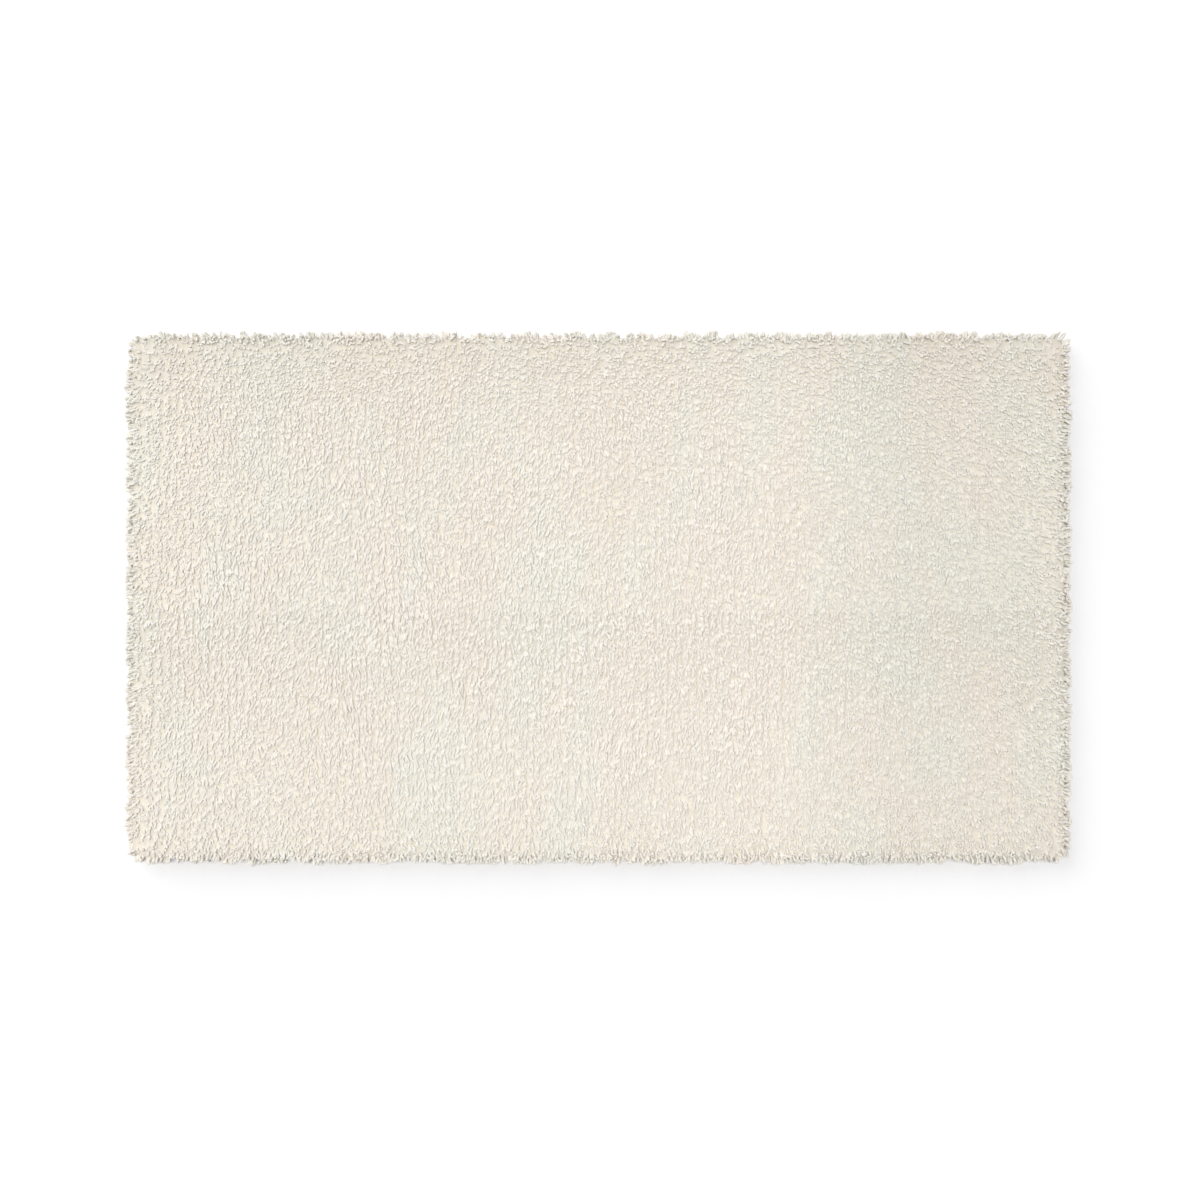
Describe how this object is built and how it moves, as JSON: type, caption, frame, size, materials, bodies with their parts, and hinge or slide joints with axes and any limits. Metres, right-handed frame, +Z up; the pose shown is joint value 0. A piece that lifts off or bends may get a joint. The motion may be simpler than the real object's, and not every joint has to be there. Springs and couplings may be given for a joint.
{
  "type": "bath mat",
  "caption": "Rectangular tufted cotton bath mat with a long shaggy cut pile in ivory, a bound edge and a rubber-coated back.",
  "frame": {"origin": "middle of the underside, on the surface the mat lies on", "axes": "+X along the mat's length, +Y across its width, +Z up out of the pile"},
  "size_m": [0.915, 0.515, 0.028],
  "materials": {
    "cotton_yarn": "matte",
    "backing_cloth": "matte",
    "cotton_tape": "matte",
    "sewing_thread": "satin",
    "latex_rubber": "matte",
    "label_satin": "satin"
  },
  "bodies": {
    "root": {"backing_cloth": "backing_cloth", "latex_coat": "latex_rubber", "back_stitches": "cotton_yarn", "tuft_rows_01": "cotton_yarn", "tuft_rows_02": "cotton_yarn", "tuft_rows_03": "cotton_yarn", "tuft_rows_04": "cotton_yarn", "tuft_rows_05": "cotton_yarn", "tuft_rows_06": "cotton_yarn", "tuft_rows_07": "cotton_yarn", "tuft_rows_08": "cotton_yarn", "tuft_rows_09": "cotton_yarn", "tuft_rows_10": "cotton_yarn", "tuft_rows_11": "cotton_yarn", "tuft_rows_12": "cotton_yarn", "tuft_rows_13": "cotton_yarn", "tuft_rows_14": "cotton_yarn", "tuft_rows_15": "cotton_yarn", "binding_left": "cotton_tape", "binding_right": "cotton_tape", "binding_front": "cotton_tape", "binding_back": "cotton_tape", "needle_thread": "sewing_thread", "bobbin_thread": "sewing_thread", "corner_tacks": "sewing_thread", "care_label": "label_satin"}
  },
  "joints": []
}
